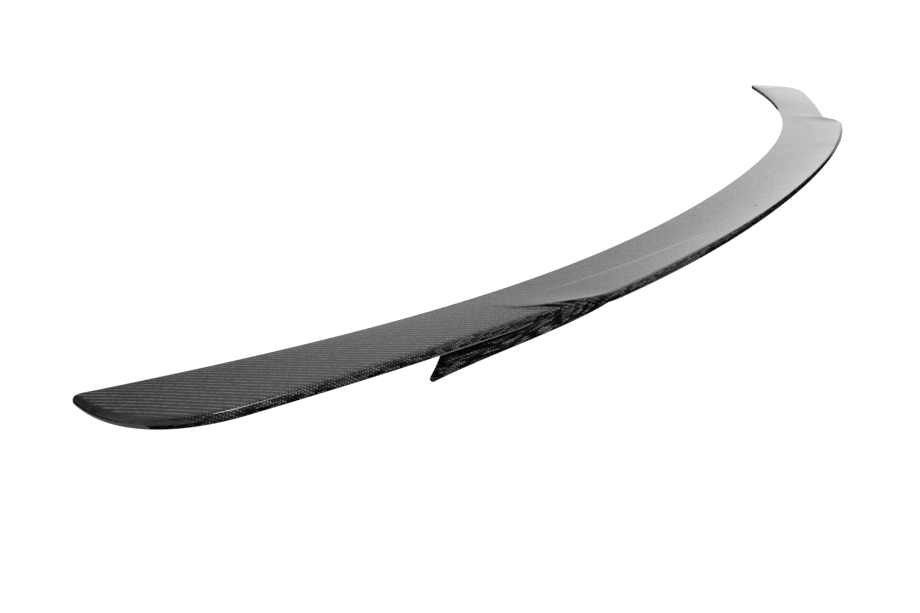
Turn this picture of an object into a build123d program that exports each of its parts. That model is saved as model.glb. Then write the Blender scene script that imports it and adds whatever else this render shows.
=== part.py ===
from build123d import *
import math
import os

# Rear spoiler moulded in one piece from woven carbon laminate, in millimetres.
# +X is the car's right, +Y its front, +Z up. The two halves mirror each other in the plane X = 0.
# The skin is open underneath. A raised ducktail centre steps down at a crease to a thin wing on each side.
# Sections are drawn from the top of the leading edge on the centre line. The finished part is then moved so
# that its origin is the middle of the bonding land there.

# Leading edge, seen from above
half_width = 734.0       # middle of the car to the front corner of a tip
tip_sweep = 186.5        # how far the front corners stand ahead of the middle
sweep_bow = 0.649        # share of the sweep that grows with the square of X
sweep_hook = 0.543       # share of the sweep that grows with its fourth power

# Raised centre
centre_chord = 78.5      # leading edge to rear edge, on the centre line
corner_chord = 83.5      # the same where the rear corners start
corner_start = 400.0     # X where the rear corners start
kick_height = 10.9       # rear edge above the leading edge, on the centre line
kick_fade = 3.1          # loss of that height by the rear corners
lip_rise = 2.8           # lower rear edge above the leading edge, on the centre line
lip_fade = 2.1           # loss of that height by the rear corners

# Crease between the centre and a wing
crease_front = 463.0     # X of the crease at the leading edge
crease_rear = 462.0      # X of the crease at the rear edge
crease_run = 4.5         # width of the step down to the wing
crease_step = 1.3        # height of that step

# Wings
wing_root = 446.5        # X where the wing outline starts, inside the crease
wing_chord = 64.2        # along Y, at its root
wing_widening = 17.0     # gain of that chord by the start of the tip curve
wing_rise = 2.1          # rear edge above the leading edge
wing_crown = 0.5         # bulge of the top between the two edges
tip_start = 690.0        # X where the rear edge turns into the tip curve
tip_rear_pull = 53.0     # handle of the tip curve at the rear edge
tip_front_pull = 50.0    # handle of the tip curve at the front corner
tip_front_angle = 20.0   # lean of the tip curve at the front corner, degrees
tip_cut = 6.5            # width of the cut across the front corner

# Laminate and edges
skin = 2.0               # laminate thickness
front_edge = 5.2         # height of the leading edge face, down to the bonding plane
front_round = 1.0        # rounding of the leading edge
land_width = 12.0        # flat land behind the leading edge, for the bonding tape
sharp_roll = 0.9         # rounding of the rear edge on the centre line
full_roll = 6.0          # rounding of the rear edge near the corners and on the wings
roll_start = 90.0        # X where the rounding starts to grow
roll_end = 330.0         # X where it is full
lip_face = 0.8           # upright rim left under a wing's rounded edge
rim_gap = 0.6            # that rim above the bonding plane, so that only the land and the tips touch
rear_bead = 11.0         # solid width of a wing's rear edge, where its flange is rooted
bead_start = 345.0       # X where the centre's rear wall starts to thicken to it
bead_end = 405.0         # X where it is as thick

# Flange that runs out of the centre's rear wall and down under each wing
flange_start = 412.0     # X where it starts, inside the rear wall
flange_end = 566.5       # X of its free end, at the foot
flange_drop = 23.2       # foot of the free end below the leading edge
flange_tuck = 8.0        # its top, ahead of the wing's rear edge
flange_hollow = 1.2      # hollow of its outer face
flange_slant = 1.05      # slant of the free end, run over height
flange_notch = 0.8       # hollow of the free end
flange_corner = 1.6      # rounding of the free end's lower corner
flange_skin = 2.2        # its thickness

# Working values
base_z = -front_edge
rim_z = base_z + rim_gap
trim_depth = 2.0         # what the sections reach below the bonding plane before the trim
slope_step = 1.0         # run over which the slope of an outline is taken
centre_stations = 9      # sections from the centre line to the crease
wing_stations = 17       # sections from the crease to the tip
solid_stations = 2       # the last of these, where the tip is solid
tip_share = 0.7          # share of a wing's sections that end on its straight rear edge
flange_stations = 8      # sections along a flange


def ease(t):
    """Smooth step from 0 to 1."""
    t = min(max(t, 0.0), 1.0)
    return t * t * (3.0 - 2.0 * t)


def blend(a, b, t):
    return a + (b - a) * t


def slope(outline, x):
    return (outline(x + slope_step) - outline(x)) / slope_step


def leading_y(x):
    square = (x / half_width) ** 2
    hook = sweep_hook * square**2
    rest = (1.0 - sweep_bow - sweep_hook) * square**3
    return tip_sweep * (sweep_bow * square + hook + rest)


def wing_rear_y(x):
    along = (x - wing_root) / (tip_start - wing_root)
    return leading_y(x) - wing_chord - wing_widening * along**2


def corner_fade(x):
    """0 on the raised centre, 1 where its rear corner has run out into the wing."""
    return ease((x - corner_start) / (crease_rear - corner_start))


def centre_rear_y(x):
    chord = blend(centre_chord, corner_chord, (x / corner_start) ** 2)
    return blend(leading_y(x) - chord, wing_rear_y(x), corner_fade(x))


def centre_rear_z(x):
    kick = kick_height - kick_fade * (x / corner_start) ** 4
    return blend(kick, wing_rise + crease_step, corner_fade(x))


def lip_z(x):
    rise = lip_rise - lip_fade * (x / corner_start) ** 3
    return blend(rise, rim_z, corner_fade(x))


def roll_size(x):
    return blend(sharp_roll, full_roll, ease((x - roll_start) / (roll_end - roll_start)))


def rear_wall(x):
    return blend(skin, rear_bead, ease((x - bead_start) / (bead_end - bead_start)))


class Station:
    """One upright section, from a point on the leading edge to one on the rear edge."""

    def __init__(self, front, rear, terms, roll, lip, wall):
        self.front = front
        self.rear = rear
        self.chord = math.dist(front, rear)
        self.along = ((rear[0] - front[0]) / self.chord, (rear[1] - front[1]) / self.chord)
        self.terms = terms
        self.roll = min(roll, self.chord / 2.0)
        self.lip = lip
        self.wall = wall

    def mirrored(self):
        front = (-self.front[0], self.front[1])
        rear = (-self.rear[0], self.rear[1])
        return Station(front, rear, self.terms, self.roll, self.lip, self.wall)

    def point(self, s, z):
        return (self.front[0] + s * self.along[0], self.front[1] + s * self.along[1], z)

    def top(self, s):
        """Height and slope of the top, a cubic in the share of the chord."""
        f = s / self.chord
        a, b, c = self.terms
        return f * (a + f * (b + f * c)), (a + f * (2.0 * b + f * 3.0 * c)) / self.chord

    def top_edge(self, start, end, sink):
        """The top from start to end as one cubic curve, lowered by sink."""
        step = (end - start) / 3.0
        z0, slope0 = self.top(start)
        z1, slope1 = self.top(end)
        return Bezier(
            self.point(start, z0 - sink),
            self.point(start + step, z0 + slope0 * step - sink),
            self.point(end - step, z1 - slope1 * step - sink),
            self.point(end, z1 - sink),
        )

    def roll_start(self, inset):
        return self.chord - inset - max(self.roll - inset, lip_face)

    def roll_edge(self, inset, sink):
        """The rounded rear edge, moved forwards by inset and down by sink."""
        start = self.roll_start(inset)
        rear = self.chord - inset
        z0, slope0 = self.top(start)
        corner_z = z0 - sink + slope0 * (rear - start)
        depth = min(rear - start, corner_z - self.lip - lip_face)
        return Bezier(
            self.point(start, z0 - sink),
            self.point(rear, corner_z),
            self.point(rear, corner_z - depth),
        )

    def outer(self):
        low = base_z - trim_depth
        round_z, round_slope = self.top(front_round)
        roll = self.roll_edge(0.0, 0.0)
        top = self.top_edge(front_round, self.roll_start(0.0), 0.0)
        nose = Bezier(
            self.point(0.0, -front_round),
            self.point(0.0, round_z - round_slope * front_round),
            self.point(front_round, round_z),
        )
        front_face = Line(self.point(0.0, low), self.point(0.0, -front_round))
        rear_face = Line(roll @ 1, self.point(self.chord, self.lip))
        under = Line(rear_face @ 1, front_face @ 0)
        return Face(Wire([front_face, nose, top, roll, rear_face, under]))

    def inner(self):
        low = base_z - 2.0 * trim_depth
        roll = self.roll_edge(self.wall, skin)
        top = self.top_edge(land_width, self.roll_start(self.wall), skin)
        corner = Line(top @ 1, roll @ 1)
        front_wall = Line(self.point(land_width, low), top @ 0)
        back_wall = Line(corner @ 1, self.point(self.chord - self.wall, low))
        mouth = Line(back_wall @ 1, front_wall @ 0)
        return Face(Wire([front_wall, top, corner, back_wall, mouth]))


def top_terms(rise, crown, kick, step):
    """Cubic of the top: a straight rise, a crown, a kick-up at the rear and a step held along the chord."""
    bulge = 4.0 * crown
    return (rise + bulge + 3.0 * step, -bulge - 3.0 * step + kick / 2.0, step + kick / 2.0)


def centre_station(share):
    """Section of the raised centre, share 0 on the centre line and 1 at the crest of the crease."""
    front_x = share * (crease_front - crease_run / 2.0)
    rear_x = share * (crease_rear - crease_run / 2.0)
    fade = corner_fade(rear_x)
    rear = (rear_x, centre_rear_y(rear_x))
    rise = blend(0.0, wing_rise, fade)
    kick = centre_rear_z(rear_x) - rise - crease_step
    terms = top_terms(rise, wing_crown * fade, kick, crease_step)
    front = (front_x, leading_y(front_x))
    return Station(front, rear, terms, roll_size(rear_x), lip_z(rear_x), rear_wall(rear_x))


def tip_curve(t):
    """Outline of the tip, from the wing's rear edge at 0 to the front corner at 1."""
    start = Vector(tip_start, wing_rear_y(tip_start))
    end = Vector(half_width, leading_y(half_width))
    lean = math.radians(tip_front_angle)
    first = start + Vector(1.0, slope(wing_rear_y, tip_start)).normalized() * tip_rear_pull
    second = end + Vector(math.sin(lean), -math.cos(lean)) * tip_front_pull
    u = 1.0 - t
    spot = start * u**3 + first * (3.0 * t * u**2) + second * (3.0 * t**2 * u) + end * t**3
    return (spot.X, spot.Y)


def wing_station(share):
    """Section of a wing, share 0 in the valley of the crease and 1 at the front corner of the tip."""
    root_front = crease_front + crease_run / 2.0
    root_rear = crease_rear + crease_run / 2.0
    front_x = blend(root_front, half_width - tip_cut, share)
    if share < tip_share:
        rear_x = blend(root_rear, tip_start, share / tip_share)
        rear = (rear_x, wing_rear_y(rear_x))
    else:
        end_speed = 3.0 * tip_front_pull
        last = 1.0 - tip_cut / 2.0 / end_speed
        rear = tip_curve((share - tip_share) / (1.0 - tip_share) * last)
    front = (front_x, leading_y(front_x))
    width = min(math.dist(front, rear) / wing_chord, 1.0)
    terms = top_terms(wing_rise * width, wing_crown * width, 0.0, 0.0)
    return Station(front, rear, terms, full_roll, rim_z, rear_bead)


def shell(stations, hollow):
    outer = loft([station.outer() for station in stations])
    return outer - loft([station.inner() for station in hollow])


def body_station(x):
    """Section of the body whose rear edge is at x."""
    root = crease_rear + crease_run / 2.0
    if x < root:
        return centre_station(min(x / (root - crease_run), 1.0))
    return wing_station(tip_share * (x - root) / (tip_start - root))


def flange_station(share):
    """Section of the flange, from its start in the rear wall at 0 to the free end at 1."""
    x = blend(flange_start, flange_end, share)
    span = flange_end - flange_start
    start_y = centre_rear_y(flange_start) + skin / 2.0
    start_z = lip_z(flange_start) + skin / 4.0
    end_y = wing_rear_y(flange_end)
    back = 1.0 - share
    path = start_y * back**2 * (1.0 + 2.0 * share) + end_y * share**2 * (1.0 + 2.0 * back)
    leave = slope(centre_rear_y, corner_start) * share * back**2
    arrive = slope(wing_rear_y, flange_end) * share**2 * back
    foot_y = path + span * (leave - arrive)
    foot_z = blend(start_z, -flange_drop, share)
    carrier = body_station(x)
    head_y = carrier.rear[1] + flange_tuck
    head_z = carrier.top(carrier.chord - flange_tuck)[0] - skin / 2.0
    middle_y = (head_y + foot_y) / 2.0 + flange_hollow
    middle_z = (head_z + foot_z) / 2.0
    outer = Bezier((x, head_y, head_z), (x, middle_y, middle_z), (x, foot_y, foot_z))
    inner = Bezier(
        (x, foot_y + flange_skin, foot_z),
        (x, middle_y + flange_skin, middle_z),
        (x, head_y + flange_skin, head_z),
    )
    foot = Line(outer @ 1, inner @ 0)
    head = Line(inner @ 1, outer @ 0)
    return Face(Wire([outer, foot, inner, head]))


def make_flange():
    """Lofted sheet, trimmed at its free end to a slanted edge with a rounded lower corner."""
    past_end = 1.0 + flange_corner / (flange_end - flange_start)
    shares = [past_end * i / (flange_stations - 1) for i in range(flange_stations)]
    sheet = loft([flange_station(share) for share in shares])
    foot = Vector(flange_end, -flange_drop)
    notch_top = foot + Vector(-flange_slant, 1.0) * (flange_drop + base_z)
    free_end = SagittaArc(notch_top, foot, -flange_notch)
    back = Polyline(foot, (0.0, -flange_drop), (0.0, kick_height), (notch_top.X, kick_height), notch_top)
    profile = make_face(Plane.XZ * (free_end + back))
    corner = profile.vertices().group_by(Axis.Z)[0].sort_by(Axis.X)[-1]
    profile = fillet(corner, flange_corner)
    return sheet & extrude(profile, amount=tip_sweep, both=True)


def make_spoiler():
    shares = [i / (centre_stations - 1) for i in range(centre_stations)]
    right_half = [centre_station(math.sin(share * math.pi / 2.0)) for share in shares]
    left_half = [station.mirrored() for station in reversed(right_half[1:])]
    wing = [wing_station(i / (wing_stations - 1)) for i in range(wing_stations)]
    step = [right_half[-1], wing[0]]
    right = shell(wing, wing[:-solid_stations]) + shell(step, step)
    body = shell(left_half + right_half, left_half + right_half) + right + mirror(right, about=Plane.YZ)
    reach = 2.0 * (half_width + tip_sweep)
    below = Box(reach, reach, front_edge, align=(Align.CENTER, Align.CENTER, Align.MAX))
    body -= Pos(0.0, 0.0, base_z) * below
    flange = make_flange()
    return body + flange + mirror(flange, about=Plane.YZ)


os.makedirs("parts", exist_ok=True)
export_step(Pos(0.0, land_width / 2.0, front_edge) * make_spoiler(), "parts/spoiler.step")
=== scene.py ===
import math

import bmesh
import bpy
from mathutils import Matrix, Vector


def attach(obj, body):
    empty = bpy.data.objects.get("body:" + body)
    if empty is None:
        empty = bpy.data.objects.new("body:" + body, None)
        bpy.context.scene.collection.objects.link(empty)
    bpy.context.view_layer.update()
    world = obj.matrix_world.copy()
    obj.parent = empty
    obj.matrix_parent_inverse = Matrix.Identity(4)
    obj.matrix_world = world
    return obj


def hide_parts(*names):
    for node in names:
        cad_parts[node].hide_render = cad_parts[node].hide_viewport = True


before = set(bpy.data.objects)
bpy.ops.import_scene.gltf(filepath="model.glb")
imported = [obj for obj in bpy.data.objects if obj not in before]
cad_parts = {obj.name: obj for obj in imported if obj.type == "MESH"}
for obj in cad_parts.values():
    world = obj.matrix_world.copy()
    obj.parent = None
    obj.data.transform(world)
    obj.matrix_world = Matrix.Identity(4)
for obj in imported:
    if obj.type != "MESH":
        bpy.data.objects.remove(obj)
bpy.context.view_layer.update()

# Rear spoiler in woven carbon laminate under a clear coat. The fine mesh follows the part's own sections.
# Lengths of the part are in millimetres, and the scene is in metres. Sections are drawn from the top of the
# leading edge on the centre line, with the values of the part's source down to its working values.
mm = 0.001

# Leading edge, seen from above
half_width = 734.0
tip_sweep = 186.5
sweep_bow = 0.649
sweep_hook = 0.543

# Raised centre
centre_chord = 78.5
corner_chord = 83.5
corner_start = 400.0
kick_height = 10.9
kick_fade = 3.1
lip_rise = 2.8
lip_fade = 2.1

# Crease between the centre and a wing
crease_front = 463.0
crease_rear = 462.0
crease_step = 1.3

# Wings
wing_root = 446.5
wing_chord = 64.2
wing_widening = 17.0
wing_rise = 2.1
wing_crown = 0.5
tip_start = 690.0
tip_rear_pull = 53.0
tip_front_pull = 50.0
tip_front_angle = 20.0
tip_cut = 6.5

# Laminate and edges
skin = 2.0
front_edge = 5.2
front_round = 1.0
land_width = 12.0
sharp_roll = 0.9
full_roll = 6.0
roll_start = 90.0
roll_end = 330.0
lip_face = 0.8
rim_gap = 0.6
rear_bead = 11.0
bead_start = 345.0
bead_end = 405.0

# Flange under each wing
flange_start = 412.0
flange_end = 566.5
flange_drop = 23.2
flange_tuck = 8.0
flange_hollow = 1.2
flange_slant = 1.05
flange_notch = 0.8
flange_corner = 1.6
flange_skin = 2.2

# Working values of the part
base_z = -front_edge
rim_z = base_z + rim_gap
trim_depth = 2.0
slope_step = 1.0
wing_stations = 17
solid_stations = 2
tip_share = 0.7
solid_share = 1.0 - solid_stations / (wing_stations - 1)  # share of a wing where the hollow ends

# Soft forms of the surface, finer than the solid's sections
ramp_front = 467.0               # X of the crease ramp's outer end at the leading edge
ramp_rear = 455.0                # the same at the rear edge
ramp_bow = 11.0                  # outward bow of the ramp, seen from above
ramp_run = 7.0                   # width of the ramp
ramp_flare = 17.0                # power with which it widens into the rear corner
nose_swell = 0.9                 # swell of a wing's top just behind the leading edge
nose_run = 15.0                  # width of that swell
nose_start = 490.0               # X where the swell starts
nose_full = 620.0                # X where it is full
flick_rise = 0.16                # extra lift of the centre's rear margin
flick_start = 0.86               # share of the chord where that lift starts
kick_step = 0.3                  # soft step where the kick-up begins
kick_step_run = 3.2              # its width
kick_step_outer = (436.0, 0.36)  # X of its outer end, and its share of the chord there
kick_step_inner = (265.0, 0.58)  # the same where it runs out
kick_step_fade = 60.0            # length over which it runs out
kick_step_end = 40.0             # the same at its outer end
rim_strip = 0.7                  # narrow face below the rounded rear edge; in places it carries a painted highlight
highlight_centre = (285.0, 402.0)      # X where that face carries the painted highlight on the centre
highlight_wing = (474.0, 566.0)        # the same on a wing
corner_tight = 0.6               # share by which the rear edge's rounding shrinks in the rear corners
corner_middle = 446.0            # X of the tightest rounding
corner_half = 48.0               # half the length of the tighter rounding
undercut = 1.2                   # lean of the centre's rear face, inwards to its lower edge

# Fineness of the mesh
fine_start = 372.0               # X where the close sections of the crease begin
fine_share = 0.1                 # share of a wing with close sections
centre_rows = 110                # sections of the centre
crease_rows = 84                 # close sections up to the crease
valley_rows = 26                 # close sections of a wing
wing_rows = 76                   # sections of a wing's middle
solid_rows = 44                  # sections of its solid tip
front_lines = 4                  # points down the front face
nose_lines = 6                   # points round the leading edge
top_lines = 60                   # points across the top
roll_lines = 12                  # points round the rear edge
face_lines = 4                   # points down the rear face
rim_lines = 3                    # points across the rim, down the land's wall and across the land
wall_lines = 2                   # points up the inside of the rear wall, and on to the top
hollow_lines = 14                # points across the inside of the top
flange_rows = 80                 # sections along a flange
flange_lines = 16                # points down each face of a flange
end_halvings = 40                # halvings in the search for a flange's free end
weld = 1e-7                      # points closer than this are one, metres
sharp_angle = 40.0               # edges sharper than this stay sharp, degrees

# Carbon cloth: a two-by-two twill
tow_pitch = 1.38                 # width of one tow
float_length = 2.0               # tows that a float passes over
twill_repeat = 4.0               # tows in one repeat of the pattern
cloth_bow = 0.75                 # share of the leading edge's bow that the cloth follows
tip_dark_start = 675.0                # X from which the rounded edge of the tips is painted dark as painted shade, its weave's painted sheen faded
chip_place = (-98.0, -50.0)      # small chip in the coat, X and Y of the finished part
chip_size = (4.5, 2.2)           # its half lengths


def ease(t):
    """Smooth step from 0 to 1."""
    t = min(max(t, 0.0), 1.0)
    return t * t * (3.0 - 2.0 * t)


def blend(a, b, t):
    return a + (b - a) * t


def slope(outline, x):
    return (outline(x + slope_step) - outline(x)) / slope_step


def bezier(p0, p1, p2, count):
    """Points of a quadratic curve, its start left out."""
    points = []
    for i in range(1, count + 1):
        t = i / count
        u = 1.0 - t
        points.append(tuple(a * u * u + b * 2.0 * t * u + c * t * t for a, b, c in zip(p0, p1, p2)))
    return points


def line(p0, p1, count):
    """Points of a straight run, its start left out."""
    return [tuple(blend(a, b, i / count) for a, b in zip(p0, p1)) for i in range(1, count + 1)]


def spread(first, last, count):
    """Even steps from first up to last, which is left out."""
    return [blend(first, last, i / count) for i in range(count)]


def leading_y(x):
    square = (x / half_width) ** 2
    hook = sweep_hook * square**2
    rest = (1.0 - sweep_bow - sweep_hook) * square**3
    return tip_sweep * (sweep_bow * square + hook + rest)


def wing_rear_y(x):
    along = (x - wing_root) / (tip_start - wing_root)
    return leading_y(x) - wing_chord - wing_widening * along**2


def corner_fade(x):
    """0 on the raised centre, 1 where its rear corner has run out into the wing."""
    return ease((x - corner_start) / (crease_rear - corner_start))


def centre_rear_y(x):
    chord = blend(centre_chord, corner_chord, (x / corner_start) ** 2)
    return blend(leading_y(x) - chord, wing_rear_y(x), corner_fade(x))


def lip_z(x):
    rise = lip_rise - lip_fade * (x / corner_start) ** 3
    return blend(rise, rim_z, corner_fade(x))


def corner_roll(x):
    """Share of the rear edge's rounding that is left at x."""
    return 1.0 - corner_tight * ease(1.0 - abs(x - corner_middle) / corner_half)


def roll_size(x):
    return blend(sharp_roll, full_roll, ease((x - roll_start) / (roll_end - roll_start))) * corner_roll(x)


def rear_wall(x):
    return blend(skin, rear_bead, ease((x - bead_start) / (bead_end - bead_start)))


def top_height(f, rise, crown, kick, step):
    """Top at a share of the chord: a straight rise, a crown, a kick-up and a step held along the chord."""
    hold = step * (1.0 - (1.0 - f) ** 3)
    return rise * f + 4.0 * crown * f * (1.0 - f) + kick * f * f * (1.0 + f) / 2.0 + hold


def plateau(x, f):
    """1 on the raised centre and 0 on a wing, with the soft ramp of the crease between them."""
    outer_end = blend(ramp_front, ramp_rear, f) + 4.0 * ramp_bow * f * (1.0 - f)
    run = blend(ramp_run, ramp_rear - corner_start, f**ramp_flare)
    return ease((outer_end - x) / run)


def raised_height(x, s, chord):
    """Top of the raised centre, with the flick at its rear and the soft step where the kick-up begins."""
    f = s / chord
    kick = kick_height - kick_fade * (x / corner_start) ** 4 - crease_step
    flick = flick_rise * (max(f - flick_start, 0.0) / (1.0 - flick_start)) ** 2
    along = (x - kick_step_inner[0]) / (kick_step_outer[0] - kick_step_inner[0])
    grow = ease((x - kick_step_inner[0]) / kick_step_fade + 1.0)
    fade = ease((kick_step_outer[0] - x) / kick_step_end)
    off = (f - blend(kick_step_inner[1], kick_step_outer[1], along)) * chord / kick_step_run
    return top_height(f, 0.0, 0.0, kick, crease_step) + flick + kick_step * grow * fade * ease(off + 0.5)


class Station:
    """One upright section, from a point on the leading edge to one on the rear edge."""

    def __init__(self, front, rear, roll, lip, wall):
        self.front = front
        self.rear = rear
        self.chord = math.dist(front, rear)
        self.along = ((rear[0] - front[0]) / self.chord, (rear[1] - front[1]) / self.chord)
        self.roll = min(roll, self.chord / 2.0)
        self.lip = lip
        self.wall = wall

    def height(self, s):
        f = s / self.chord
        x = self.front[0] + s * self.along[0]
        width = min(self.chord / wing_chord, 1.0)
        swell = nose_swell * width * ease((x - nose_start) / (nose_full - nose_start))
        wing = top_height(f, wing_rise * width, wing_crown * width, 0.0, 0.0)
        wing += swell * (1.0 - max(1.0 - s / nose_run, 0.0) ** 2) * (1.0 - f)
        return blend(wing, raised_height(x, s, self.chord), plateau(x, f))

    def roll_start(self, inset):
        return self.chord - inset - max(self.roll - inset, lip_face)

    def roll_edge(self, inset, sink):
        """Control points of the rounded rear edge, moved forwards by inset and down by sink."""
        start = self.roll_start(inset)
        rear = self.chord - inset
        z0 = self.height(start)
        back = lip_face / 4.0
        corner_z = z0 - sink + (z0 - self.height(start - back)) / back * (rear - start)
        depth = min(full_roll, rear - start, corner_z - self.lip - lip_face)
        return (start, z0 - sink), (rear, corner_z), (rear, corner_z - depth)

    def foot(self):
        """Lower end of the rear face."""
        return (self.chord - undercut * (1.0 - corner_fade(self.rear[0])), self.lip)

    def under(self, s):
        """Height of the underside before it is hollowed."""
        low = base_z - trim_depth
        return max(base_z, blend(low, self.lip, s / self.chord))

    def outer(self):
        """Front face, nose, top, rounded rear edge and rear face, as points (s, z)."""
        round_z = self.height(front_round)
        roll = self.roll_edge(0.0, 0.0)
        nose = ((0.0, -front_round), (0.0, round_z - front_round / 10.0), (front_round, round_z))
        points = [(0.0, base_z)] + line((0.0, base_z), nose[0], front_lines) + bezier(*nose, nose_lines)
        for s, _ in line(nose[2], roll[0], top_lines):
            points.append((s, self.height(s)))
        points += bezier(*roll, roll_lines)
        strip = (self.chord, roll[2][1] - rim_strip)
        return points + [strip] + line(strip, self.foot(), face_lines)

    def inner(self, hollow):
        """Rim, inside and land, as points (s, z). A solid section keeps their count."""
        wall = min(self.wall, self.chord / 2.0)
        land = min(land_width, self.chord / 4.0)
        rim = (self.chord - wall, self.under(self.chord - wall))
        points = line(self.foot(), rim, rim_lines)
        if hollow:
            roll = self.roll_edge(wall, skin)
            points += line(rim, roll[2], wall_lines) + line(roll[2], roll[0], wall_lines)
            for s, _ in line(roll[0], (land, 0.0), hollow_lines):
                points.append((s, self.height(s) - skin))
            points += line(points[-1], (land, base_z), rim_lines)
        else:
            count = 2 * wall_lines + hollow_lines + rim_lines
            points += [(s, self.under(s)) for s, _ in line(rim, (land, 0.0), count)]
        return points + line((land, base_z), (0.0, base_z), rim_lines)[:-1]

    def loop(self, hollow=True):
        """The closed section as points of the part, each with its place in the flat cloth and its zone.

        On the body a zone is (how far round an edge, 0), and on a flange (1 + share along, share down).
        """
        points = self.outer() + self.inner(hollow)
        length = -math.dist(points[0], (0.0, 0.0))
        last = points[0]
        top_first = front_lines + nose_lines
        top_last = top_first + top_lines
        loop = []
        for i, (s, z) in enumerate(points):
            length += math.dist(last, (s, z))
            last = (s, z)
            x, y = (self.front[axis] + s * self.along[axis] for axis in (0, 1))
            flat = tuple(self.front[axis] + length * self.along[axis] for axis in (0, 1))
            turned = max((top_first - i) / nose_lines, (i - top_last) / roll_lines, 0.0)
            loop.append(((x, y, z), flat, (min(turned, 1.0), 0.0)))
        return loop


def centre_station(share):
    """Section of the raised centre, share 0 on the centre line and 1 at the crease."""
    front_x = share * crease_front
    rear_x = share * crease_rear
    front = (front_x, leading_y(front_x))
    rear = (rear_x, centre_rear_y(rear_x))
    return Station(front, rear, roll_size(rear_x), lip_z(rear_x), rear_wall(rear_x))


def tip_curve(t):
    """Outline of the tip, from the wing's rear edge at 0 to the front corner at 1."""
    start = Vector((tip_start, wing_rear_y(tip_start)))
    end = Vector((half_width, leading_y(half_width)))
    lean = math.radians(tip_front_angle)
    first = start + Vector((1.0, slope(wing_rear_y, tip_start))).normalized() * tip_rear_pull
    second = end + Vector((math.sin(lean), -math.cos(lean))) * tip_front_pull
    u = 1.0 - t
    return tuple(start * u**3 + first * (3.0 * t * u**2) + second * (3.0 * t**2 * u) + end * t**3)


def wing_rear(share):
    """Rear edge of a wing and its tip, share 0 at the crease and 1 near the front corner."""
    if share < tip_share:
        x = blend(crease_rear, tip_start, share / tip_share)
        return x, wing_rear_y(x)
    end_speed = 3.0 * tip_front_pull
    last = 1.0 - tip_cut / 2.0 / end_speed
    return tip_curve((share - tip_share) / (1.0 - tip_share) * last)


def wing_station(share):
    """Section of a wing, share 0 at the crease and 1 at the front corner of the tip."""
    front_x = blend(crease_front, half_width - tip_cut, share)
    front = Vector((front_x, leading_y(front_x)))
    rear = Vector(wing_rear(share))
    share_step = 0.01
    least_across = 0.2
    edge = (rear - Vector(wing_rear(share - share_step))).normalized()
    across = abs((rear - front).normalized().cross(edge))
    roll = full_roll / max(across, least_across) * corner_roll(rear[0])
    return Station(tuple(front), tuple(rear), roll, rim_z, rear_bead)


def body_station(x):
    """Section of the body whose rear edge is at x."""
    if x < crease_rear:
        return centre_station(x / crease_rear)
    return wing_station(tip_share * (x - crease_rear) / (tip_start - crease_rear))


def half_loops():
    """Sections of the right half, from the centre line to the tip."""
    near = fine_start / crease_rear
    centre = spread(0.0, near, centre_rows) + spread(near, 1.0, crease_rows)
    wing = spread(0.0, fine_share, valley_rows) + spread(fine_share, solid_share, wing_rows) + [solid_share]
    loops = [centre_station(share).loop() for share in centre]
    loops += [wing_station(share).loop() for share in wing]
    for share in spread(solid_share, 1.0, solid_rows) + [1.0]:
        loops.append(wing_station(share).loop(hollow=False))
    return loops


def flange_point(x, down):
    """Outer face of the flange at x, from its head at 0 to its foot at 1."""
    span = flange_end - flange_start
    share = (x - flange_start) / span
    start_y = centre_rear_y(flange_start) + skin / 2.0
    start_z = lip_z(flange_start) + skin / 4.0
    back = 1.0 - share
    path = start_y * back**2 * (1.0 + 2.0 * share) + wing_rear_y(flange_end) * share**2 * (1.0 + 2.0 * back)
    leave = slope(centre_rear_y, corner_start) * share * back**2
    arrive = slope(wing_rear_y, flange_end) * share**2 * back
    foot = (path + span * (leave - arrive), blend(start_z, -flange_drop, share))
    carrier = body_station(x)
    head = (carrier.rear[1] + flange_tuck, carrier.height(carrier.chord - flange_tuck) - skin / 2.0)
    middle = ((head[0] + foot[0]) / 2.0 + flange_hollow, (head[1] + foot[1]) / 2.0)
    up = 1.0 - down
    y, z = (a * up**2 + b * 2.0 * down * up + c * down**2 for a, b, c in zip(head, middle, foot))
    return x, y, z


def free_end_x(z):
    """X of the flange's slanted, slightly hollow free end at a height, with its rounded lower corner."""
    height = flange_drop + base_z
    length = height * math.hypot(1.0, flange_slant)
    angle = math.atan2(1.0, flange_slant) - 4.0 * flange_notch / length
    setback = flange_corner / math.tan(angle / 2.0)
    rise = z + flange_drop
    if rise < setback * math.sin(angle):
        return flange_end - setback + math.sqrt(max(flange_corner**2 - (rise - flange_corner) ** 2, 0.0))
    t = rise / height
    hollow = 4.0 * flange_notch * t * max(1.0 - t, 0.0)
    return flange_end - flange_slant * rise - hollow * math.hypot(1.0, flange_slant)


def flange_end_x(down):
    """X where a line of the flange meets its free end."""
    low, high = flange_start, flange_end
    for _ in range(end_halvings):
        middle = (low + high) / 2.0
        if middle < free_end_x(flange_point(middle, down)[2]):
            low = middle
        else:
            high = middle
    return low


def flange_loops():
    """Closed sections along the right flange, outer face down and inner face up."""
    downs = [i / flange_lines for i in range(flange_lines + 1)]
    ends = [flange_end_x(down) for down in downs]
    loops = []
    for row in range(flange_rows + 1):
        along = row / flange_rows
        outer = [flange_point(blend(flange_start, end, along), down) for end, down in zip(ends, downs)]
        inner = [(x, y + flange_skin, z) for x, y, z in reversed(outer)]
        head = outer[0]
        loop = []
        for (x, y, z), down in zip(outer + inner, downs + downs[::-1]):
            flat = (x, head[1] - math.dist((y, z), head[1:]))
            loop.append(((x, y, z), flat, (1.0 + along, down)))
        loops.append(loop)
    return loops


def mirrored(loops):
    """The same sections on the other side of the car."""
    return [[((-x, y, z), (-u, v), zone) for (x, y, z), (u, v), zone in loop] for loop in loops]


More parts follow.
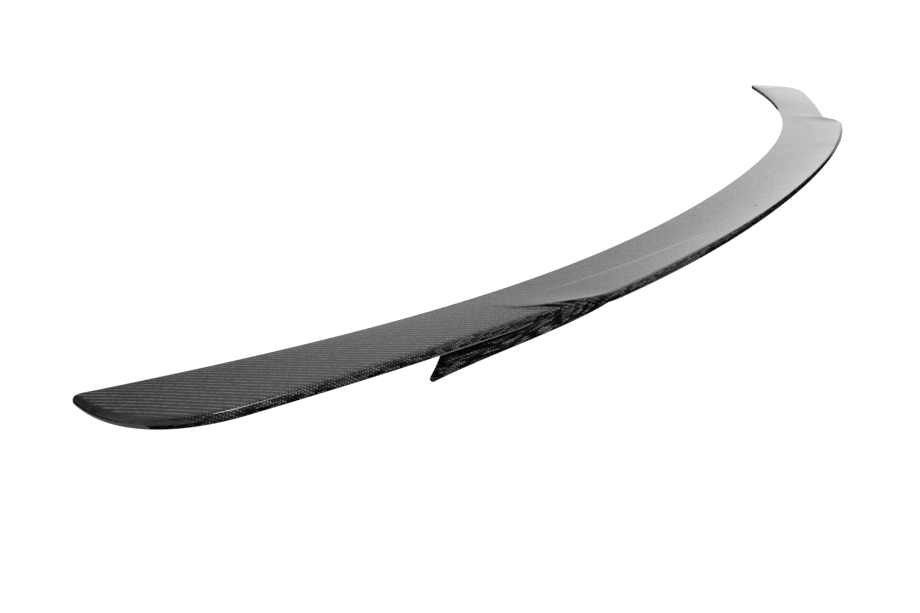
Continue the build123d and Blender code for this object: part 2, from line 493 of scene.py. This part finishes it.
def cloth_place(flat):
    """Place in the cloth, in tows. Its tows along the part bend with the leading edge."""
    x, y = flat
    middle = leading_y(x) - centre_chord / 2.0
    lean = cloth_bow * slope(leading_y, x)
    return (x + lean * (y - middle)) / tow_pitch, (y - cloth_bow * leading_y(x)) / tow_pitch


def on_edge_highlight(i, place):
    """Whether a face between points i and i + 1 of the body's sections carries the painted highlight of the
    lower rear edge.
    """
    first = front_lines + nose_lines + top_lines + roll_lines
    x = abs(place[0])
    return i == first and (highlight_centre[0] < x < highlight_centre[1] or highlight_wing[0] < x < highlight_wing[1])


def skin_loops(mesh, cloth, zones, loops, rim=False):
    """Quads between neighbouring closed sections, with both ends closed."""
    shift = Vector((0.0, land_width / 2.0, front_edge))
    rows = []
    for loop in loops:
        row = []
        for place, flat, zone in loop:
            vertex = mesh.verts.new((Vector(place) + shift) * mm)
            row.append((vertex, cloth_place(flat), zone))
        rows.append(row)
    patches = []
    for near, far, loop in zip(rows, rows[1:], loops):
        for i in range(len(near)):
            k = (i + 1) % len(near)
            # painted highlight: the strip below the rear edge gets the light edge material here
            highlit = rim and on_edge_highlight(i, loop[i][0])
            patches.append((highlit, (near[i], near[k], far[k], far[i])))
    patches.append((False, tuple(rows[0])))
    patches.append((False, tuple(reversed(rows[-1]))))
    for highlit, patch in patches:
        face = mesh.faces.new([vertex for vertex, _, _ in patch])
        face.material_index = int(highlit)
        for corner, (_, place, zone) in zip(face.loops, patch):
            corner[cloth].uv = place
            corner[zones].uv = zone


def make_spoiler():
    """The body and its two flanges as one fine mesh."""
    mesh = bmesh.new()
    cloth = mesh.loops.layers.uv.new("cloth")
    zones = mesh.loops.layers.uv.new("zone")
    right = half_loops()
    left = mirrored(right[1:])[::-1]
    skin_loops(mesh, cloth, zones, left + right, rim=True)
    flange = flange_loops()
    for loops in (flange, mirrored(flange)):
        skin_loops(mesh, cloth, zones, loops)
    bmesh.ops.remove_doubles(mesh, verts=mesh.verts, dist=weld)
    bmesh.ops.dissolve_degenerate(mesh, edges=mesh.edges, dist=weld)
    bmesh.ops.recalc_face_normals(mesh, faces=mesh.faces)
    data = bpy.data.meshes.new("carbon_spoiler")
    mesh.to_mesh(data)
    mesh.free()
    data.shade_smooth()
    data.set_sharp_from_angle(angle=math.radians(sharp_angle))
    spoiler = bpy.data.objects.new("carbon_spoiler", data)
    bpy.context.scene.collection.objects.link(spoiler)
    return spoiler


class Graph:
    """Short names for the nodes of one material or world."""

    def __init__(self, tree):
        self.tree = tree
        tree.nodes.clear()

    def node(self, kind, inputs, **settings):
        """A node with its settings, and its inputs set or linked by name or number."""
        node = self.tree.nodes.new(kind)
        for name, value in settings.items():
            setattr(node, name, value)
        for key, value in inputs.items():
            if isinstance(value, bpy.types.NodeSocket):
                self.tree.links.new(value, node.inputs[key])
            else:
                node.inputs[key].default_value = value
        return node

    def math(self, operation, *values):
        return self.node("ShaderNodeMath", dict(enumerate(values)), operation=operation).outputs[0]

    def number(self, share, a, b):
        """Number from a at share 0 to b at share 1."""
        return self.node("ShaderNodeMix", {0: share, 2: a, 3: b}, data_type="FLOAT").outputs[0]

    def colour(self, share, a, b):
        """Colour from a at share 0 to b at share 1."""
        return self.node("ShaderNodeMix", {0: share, 6: a, 7: b}, data_type="RGBA").outputs[2]

    def ramp(self, value, first, last):
        """Smooth step from 0 at first to 1 at last."""
        inputs = {"Value": value, "From Min": first, "From Max": last}
        return self.node("ShaderNodeMapRange", inputs, interpolation_type="SMOOTHSTEP").outputs[0]

    def drop(self, value, first, last, loss):
        """Smooth fall from 1 at first to 1 less the loss at last."""
        return self.math("MULTIPLY_ADD", self.ramp(value, first, last), -loss, 1.0)

    def noise(self, place, scale, detail):
        inputs = {"Vector": place, "Scale": scale, "Detail": detail}
        return self.node("ShaderNodeTexNoise", inputs, noise_dimensions="2D").outputs[0]

    def bump(self, height, strength, distance):
        inputs = {"Height": height, "Strength": strength, "Distance": distance}
        return self.node("ShaderNodeBump", inputs).outputs[0]

    def uv(self, layer):
        return self.node("ShaderNodeUVMap", {}, uv_map=layer).outputs[0]

    def coordinate(self, kind):
        return self.node("ShaderNodeTexCoord", {}).outputs[kind]

    def split(self, vector):
        """The three parts of a vector."""
        return tuple(self.node("ShaderNodeSeparateXYZ", {0: vector}).outputs)

    def finish(self, shader, kind="ShaderNodeOutputMaterial"):
        self.node(kind, {"Surface": shader.outputs[0]})


def new_material(name):
    material = bpy.data.materials.new(name)
    material.use_nodes = True
    return material, Graph(material.node_tree)


def grey(level):
    return level, level, level, 1.0


def twill(graph, place):
    """Cloth at a place: 1 where a tow along the part is on top, the tow's rounded height, a chance value."""
    u, v, _ = graph.split(place)
    column = graph.math("FLOOR", u)
    row = graph.math("FLOOR", v)
    phase = graph.math("FLOORED_MODULO", graph.math("ADD", column, row), twill_repeat)
    along = graph.math("LESS_THAN", phase, float_length)

    def bow(share):
        """1 in the middle of a tow or float, 0 at its two ends."""
        off = graph.math("ABSOLUTE", graph.math("MULTIPLY_ADD", share, 2.0, -1.0))
        return graph.math("SUBTRACT", 1.0, graph.math("POWER", off, 2.0))

    def float_share(run, first):
        """Share of a float's length at a place of its run, where first floats lie before it."""
        part = graph.math("FLOORED_MODULO", run, twill_repeat)
        return graph.math("MULTIPLY_ADD", part, 1.0 / float_length, -first)

    along_run = graph.math("ADD", u, row)
    across_run = graph.math("ADD", v, column)
    along_height = graph.math("MULTIPLY", bow(graph.math("FRACT", v)), bow(float_share(along_run, 0.0)))
    across_height = graph.math("MULTIPLY", bow(graph.math("FRACT", u)), bow(float_share(across_run, 1.0)))
    count = graph.math("FLOOR", graph.math("DIVIDE", along_run, twill_repeat))
    number = graph.node("ShaderNodeCombineXYZ", {0: row, 1: count}).outputs[0]
    chance = graph.node("ShaderNodeTexWhiteNoise", {"Vector": number}, noise_dimensions="2D")
    return along, graph.number(along, across_height, along_height), chance.outputs["Value"]


def body_painted_sheen(graph, turned, chance):
    """Painted sheen of the body's weave: painted glints on random tows round an edge, and painted shade on
    the tips' rounded edge.
    """
    least = 0.55
    variation = 0.9
    edge_glint_most = 2.4
    edge_turn = (0.15, 0.9)
    dark_tip_turn = (0.02, 0.25)
    dark_tip_loss = 0.9
    even = graph.math("MULTIPLY_ADD", chance, variation, least)
    # painted glints: a few random tows round an edge are painted much lighter
    uneven = graph.math("MULTIPLY", graph.math("POWER", chance, 2.0), edge_glint_most)
    weave = graph.number(graph.ramp(turned, *edge_turn), even, uneven)
    x, _, _ = graph.split(graph.coordinate("Object"))
    # painted shade: the weave's painted sheen fades out on the tips' rounded edge
    far_out = graph.ramp(graph.math("ABSOLUTE", x), tip_dark_start * mm, half_width * mm)
    dark_tip = graph.math("MULTIPLY", far_out, graph.ramp(turned, *dark_tip_turn))
    return graph.math("MULTIPLY", weave, graph.math("MULTIPLY_ADD", dark_tip, -dark_tip_loss, 1.0))


def flange_painted_glints(graph, place, turned, down, chance):
    """Painted glints of a flange: loose flecks along its foot and near its root; higher up it is left black
    as painted shade under the wing's edge.
    """
    least = 0.55
    variation = 2.2
    glint_scale = (0.1, 0.55, 1.0)
    glint_detail = 3.0
    glint_rim = (0.45, 0.68)
    # painted shade: above this band the flange is left black, the shade under the wing's edge
    foot = (0.4, 0.8)
    # painted glints: streaks where the flange runs into the rear corner
    root_end = (1.25, 1.55)
    root_share = 0.8
    stretched = graph.node("ShaderNodeMapping", {"Vector": place, "Scale": glint_scale}).outputs[0]
    fleck_glints = graph.ramp(graph.noise(stretched, 1.0, glint_detail), *glint_rim)
    root = graph.math("MULTIPLY", graph.drop(turned, *root_end, 1.0), root_share)
    glint_streak = graph.math("MULTIPLY", fleck_glints, graph.math("MAXIMUM", graph.ramp(down, *foot), root))
    return graph.math("MULTIPLY", glint_streak, graph.math("MULTIPLY_ADD", chance, variation, least))


def chip_mask(graph):
    """1 inside a small chip in the coat of the raised centre."""
    clear_share = 0.4
    inputs = {
        "Vector": graph.coordinate("Object"),
        "Location": (-chip_place[0] / chip_size[0], -chip_place[1] / chip_size[1], 0.0),
        "Scale": (1.0 / (chip_size[0] * mm), 1.0 / (chip_size[1] * mm), 0.0),
    }
    offset = graph.node("ShaderNodeMapping", inputs).outputs[0]
    reach = graph.node("ShaderNodeVectorMath", {0: offset}, operation="LENGTH").outputs["Value"]
    return graph.drop(reach, clear_share, 1.0, 1.0)


def carbon_material():
    """Woven carbon under a clear coat. Tows along the part are painted light as painted sheen, on edges those
    across it too as painted glints.
    """
    gap = grey(0.003)
    across_top = grey(0.008)
    # painted glints: tows across the part are painted light grey round the edges
    across_edge_glint = (0.42, 0.42, 0.424, 1.0)
    # painted sheen: tows along the part are painted light grey, in place of the fibres' reflection
    along_tow_sheen = (0.34, 0.341, 0.345, 1.0)
    edge_turn = (0.05, 0.5)
    flange_zone = 1.0001
    shade_scale = 0.35
    shade_detail = 4.0
    shade_least = 0.5
    tow_narrow = 1.8
    tow_relief = 0.0003
    ripple_scale = 0.03
    ripple_detail = 2.0
    ripple_relief = 0.00015
    chip_loss = 0.6
    material, graph = new_material("carbon_laminate")
    place = graph.uv("cloth")
    along, height, chance = twill(graph, place)
    turned, down, _ = graph.split(graph.uv("zone"))
    on_flange = graph.math("GREATER_THAN", turned, flange_zone)
    body = body_painted_sheen(graph, turned, chance)
    # share of painted sheen and painted glints, on the body and on the flanges
    painted_sheen = graph.number(on_flange, body, flange_painted_glints(graph, place, turned, down, chance))
    across = graph.colour(graph.ramp(turned, *edge_turn), across_top, across_edge_glint)
    tow = graph.colour(along, across, along_tow_sheen)
    patchy = graph.math("ADD", graph.noise(place, shade_scale, shade_detail), shade_least)
    shade = graph.math("MULTIPLY", patchy, painted_sheen)
    share = graph.math("MULTIPLY", graph.math("POWER", height, tow_narrow), shade)
    ripple = graph.noise(place, ripple_scale, ripple_detail)
    inputs = {
        "Base Color": graph.colour(share, gap, tow),
        "Roughness": 0.45,
        "Specular IOR Level": 0.05,
        "Normal": graph.bump(height, 0.5, tow_relief),
        "Coat Weight": graph.math("MULTIPLY_ADD", chip_mask(graph), -chip_loss, 1.0),
        "Coat Roughness": 0.04,
        "Coat Normal": graph.bump(ripple, 1.0, ripple_relief),
    }
    graph.finish(graph.node("ShaderNodeBsdfPrincipled", inputs))
    return material


def edge_highlight_material():
    """Painted highlight along the lower rear edge: a lighter grey with a faint grain."""
    grain_scale = 0.6
    grain_detail = 2.0
    dark = grey(0.4)
    light = grey(0.8)
    material, graph = new_material("painted_edge_highlight")
    tone = graph.colour(graph.noise(graph.uv("cloth"), grain_scale, grain_detail), dark, light)
    graph.finish(graph.node("ShaderNodeBsdfPrincipled", {"Base Color": tone, "Roughness": 0.4}))
    return material


def floor_material():
    """Paper, plain white to the eye and in the part's gloss, so that no shadow shows, as in the photo."""
    material, graph = new_material("floor_paper")
    rays = graph.node("ShaderNodeLightPath", {}).outputs
    seen = graph.math("MAXIMUM", rays["Is Camera Ray"], rays["Is Glossy Ray"])
    seen = graph.math("MAXIMUM", seen, rays["Is Transmission Ray"])
    diffuse = graph.node("ShaderNodeBsdfDiffuse", {"Color": grey(0.35)})
    glow = graph.node("ShaderNodeEmission", {"Strength": seen})
    graph.finish(graph.node("ShaderNodeAddShader", {0: diffuse.outputs[0], 1: glow.outputs[0]}))
    return material


def flag_material():
    material, graph = new_material("black_flag")
    graph.finish(graph.node("ShaderNodeBsdfDiffuse", {"Color": grey(0.004)}))
    return material


def make_sheet(name, first, last, level, material):
    """Level rectangle between two corners."""
    (x0, y0), (x1, y1) = first, last
    data = bpy.data.meshes.new(name)
    data.from_pydata([(x0, y0, level), (x1, y0, level), (x1, y1, level), (x0, y1, level)], [], [(0, 1, 2, 3)])
    data.materials.append(material)
    sheet = bpy.data.objects.new(name, data)
    bpy.context.scene.collection.objects.link(sheet)
    return sheet


def make_floor():
    """White floor, and black cards hidden from the camera for the part's upright faces to mirror."""
    size = 12.0
    floor_level = -0.25
    card_level = -0.15
    reach = 4.0
    far_end = 1.6
    behind_edge = 0.1
    ahead_edge = 0.52
    make_sheet("floor", (-size, -size), (size, size), floor_level, floor_material())
    black = flag_material()
    for name, rear, front in (("card_behind", -reach, behind_edge), ("card_ahead", ahead_edge, reach)):
        card = make_sheet(name, (-reach, rear), (far_end, front), card_level, black)
        card.visible_camera = False
        card.visible_shadow = False


def make_world():
    """White room on the front side, dark behind the part, brightest low down beyond its far end.

    A dimmer wall stands off its near end.
    """
    darkest = 0.03
    front_turn = (-0.06, 0.14)
    wall_height = (math.sin(math.radians(9.0)), math.sin(math.radians(22.0)))
    wall_loss = 0.12
    side_turn = (0.5, 0.85)
    side_loss = 0.85
    near_turn = (-0.75, -0.4)
    near_wall = 0.8
    glow_strength = 0.7
    glow_narrow = 66.0
    glow_elevation = math.radians(5.0)
    glow_azimuth = math.radians(13.0)
    world = bpy.data.worlds.new("studio")
    world.use_nodes = True
    bpy.context.scene.world = world
    graph = Graph(world.node_tree)
    direction = graph.coordinate("Generated")
    x, y, z = graph.split(direction)
    front = graph.ramp(y, *front_turn)
    upper = graph.drop(z, *wall_height, wall_loss)
    wall = graph.math("MULTIPLY", upper, graph.drop(y, *side_turn, side_loss))
    near = graph.math("MULTIPLY", graph.drop(x, *near_turn, 1.0), near_wall)
    room = graph.math("MAXIMUM", graph.math("MULTIPLY", front, wall), graph.math("MAXIMUM", near, darkest))
    middle = (
        math.cos(glow_elevation) * math.cos(glow_azimuth),
        math.cos(glow_elevation) * math.sin(glow_azimuth),
        math.sin(glow_elevation),
    )
    facing = graph.node("ShaderNodeVectorMath", {0: direction, 1: middle}, operation="DOT_PRODUCT")
    power = graph.math("MULTIPLY_ADD", facing.outputs["Value"], glow_narrow, -glow_narrow)
    glow = graph.math("EXPONENT", power)
    strength = graph.math("MULTIPLY_ADD", glow, glow_strength, room)
    graph.finish(graph.node("ShaderNodeBackground", {"Strength": strength}), "ShaderNodeOutputWorld")


def add_area(name, place, aim, along, size, power):
    """Area lamp that faces aim, its long side turned towards the direction along."""
    light = bpy.data.lights.new(name, "AREA")
    light.shape = "RECTANGLE"
    light.size, light.size_y = size
    light.energy = power
    back = (Vector(place) - Vector(aim)).normalized()
    side = Vector(along)
    side = (side - back * back.dot(side)).normalized()
    turn = Matrix((side, back.cross(side), back)).transposed()
    lamp = bpy.data.objects.new(name, light)
    lamp.location = place
    lamp.rotation_euler = turn.to_euler()
    bpy.context.scene.collection.objects.link(lamp)
    return lamp


def make_lights():
    """Soft light from above and behind, and a small gridded lamp that glints on the near tip's rear edge."""
    fill_place = (-0.6, -1.4, 2.6)
    fill_aim = (-0.2, 0.0, 0.0)
    across_car = (1.0, 0.0, 0.0)
    fill = add_area("fill", fill_place, fill_aim, across_car, size=(1.6, 0.8), power=32.0)
    fill.visible_glossy = False
    glint_place = (-0.583, -0.125, 0.671)
    near_tip = (-0.67, 0.07, 0.0)
    tip_edge = (0.86, -0.51, 0.0)
    glint = add_area("glint", glint_place, near_tip, tip_edge, size=(0.26, 0.08), power=0.045)
    glint.data.spread = math.radians(30.0)
    glint.visible_diffuse = False


def make_camera():
    """Camera at the photo's viewing angle."""
    camera = bpy.data.cameras.new("camera")
    camera.sensor_width = 36.0
    camera.lens = 38.30
    eye = bpy.data.objects.new("camera", camera)
    eye.location = (-1.0711, -0.29544, 0.27525)
    eye.rotation_euler = (math.radians(68.68), 0.0, math.radians(-58.55))
    bpy.context.scene.collection.objects.link(eye)
    bpy.context.scene.camera = eye


spoiler = make_spoiler()
spoiler.data.materials.append(carbon_material())
# second material: the painted highlight along the lower rear edge
spoiler.data.materials.append(edge_highlight_material())
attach(spoiler, "root")
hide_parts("spoiler")

make_floor()
make_world()
make_lights()
make_camera()
bpy.context.scene.view_settings.view_transform = "Standard"
